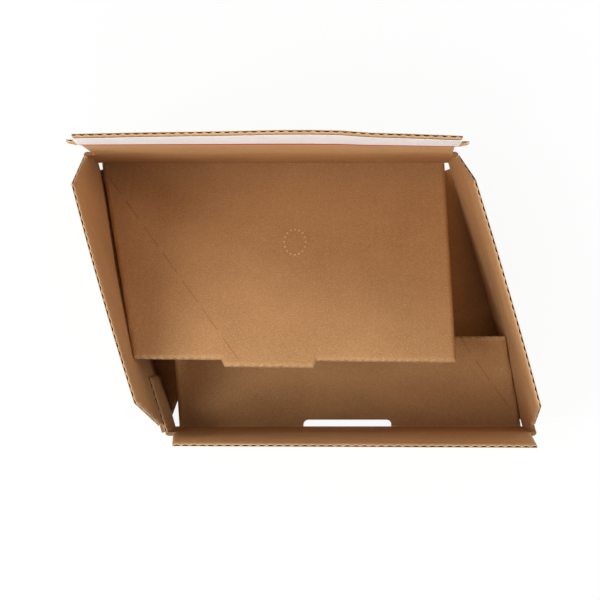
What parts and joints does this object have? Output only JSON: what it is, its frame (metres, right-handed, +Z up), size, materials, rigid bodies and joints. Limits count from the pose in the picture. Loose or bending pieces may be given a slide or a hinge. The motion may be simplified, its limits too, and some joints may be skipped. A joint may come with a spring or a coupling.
{
  "type": "self-erecting corrugated mailing box",
  "caption": "A plain kraft corrugated box with a glued self-erecting bottom, open and half racked, its top flaps upright and its bottom flaps sloping up inside.",
  "frame": {"origin": "middle of the foot of the part's box, on the surface it stands on", "axes": "+Z up, +X along the front and back walls, the closure flap on the +Y side"},
  "size_m": [0.3732, 0.2342, 0.2919],
  "materials": {
    "kraft_board": "matte kraft",
    "release_paper": "smooth siliconised white",
    "adhesive": "tacky hot melt",
    "tear_film": "glossy film"
  },
  "bodies": {
    "box": {"box_body": "kraft_board"},
    "closure": {"closure_flap": "kraft_board", "tear_strip": "tear_film", "adhesive_strip": "adhesive", "release_liner": "release_paper"},
    "front": {"front_flap": "kraft_board"},
    "left_dust": {"left_dust_flap": "kraft_board"},
    "right_dust": {"right_dust_flap": "kraft_board"}
  },
  "joints": [
    {"name": "closure_hinge", "type": "hinge", "parent": "box", "child": "closure", "pos_m": [-0.18357, 0.11558, 0.082], "axis": [1, 0, 0], "range_deg": [-110, 14]},
    {"name": "front_hinge", "type": "hinge", "parent": "box", "child": "front", "pos_m": [0.18357, -0.11558, 0.082], "axis": [-1, 0, 0], "range_deg": [-115, 8]},
    {"name": "left_dust_hinge", "type": "hinge", "parent": "box", "child": "left_dust", "pos_m": [-0.12088, -0.11449, 0.082], "axis": [-0.2706, 0.9627, 0], "range_deg": [-115, 0]},
    {"name": "right_dust_hinge", "type": "hinge", "parent": "box", "child": "right_dust", "pos_m": [0.12088, 0.11449, 0.082], "axis": [0.2706, -0.9627, 0], "range_deg": [-115, 15]}
  ]
}
